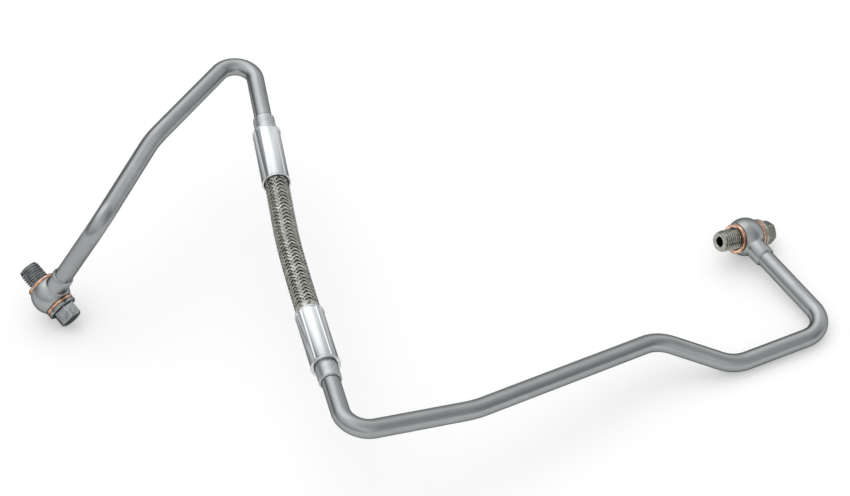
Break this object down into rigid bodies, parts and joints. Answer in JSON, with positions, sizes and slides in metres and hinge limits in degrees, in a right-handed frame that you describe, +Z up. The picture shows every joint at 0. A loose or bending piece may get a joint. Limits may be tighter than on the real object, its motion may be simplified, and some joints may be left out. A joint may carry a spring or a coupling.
{
  "type": "turbo oil feed line",
  "caption": "Bent steel oil feed line with a short braided hose section and a banjo fitting, copper washers and hollow bolt at each end.",
  "frame": {"origin": "centre of the footprint, on the surface that the line rests on", "axes": "+Z up as it lies at rest, +X from the left banjo to the right banjo, +Y towards the upper loop"},
  "size_m": [0.4432, 0.2772, 0.0783],
  "materials": {
    "feed_tube": "satin zinc-plated steel tube, cool grey",
    "banjo_eye": "satin plated steel, slightly paler than the tube",
    "hose_tail": "matt mottled plated steel",
    "ferrule": "bright zinc with die marks along it",
    "copper_washer": "plain copper, slightly tarnished",
    "left_bolt": "dark grey phosphated steel",
    "right_bolt": "dull yellow-grey passivated steel",
    "wire_braid": "woven stainless wire, warm grey",
    "liner_rubber": "black oil-proof rubber"
  },
  "bodies": {
    "root": {"left_banjo_bolt": "left_bolt", "left_banjo_eye": "banjo_eye", "left_port_washer": "copper_washer", "left_head_washer": "copper_washer", "left_feed_tube": "feed_tube", "upper_hose_tail": "hose_tail", "upper_ferrule": "ferrule", "hose_liner": "liner_rubber", "braid_sleeve": "wire_braid", "lower_ferrule": "ferrule", "lower_hose_tail": "hose_tail", "right_feed_tube": "feed_tube", "right_banjo_eye": "banjo_eye", "right_port_washer": "copper_washer", "right_head_washer": "copper_washer", "right_banjo_bolt": "right_bolt"}
  },
  "joints": []
}
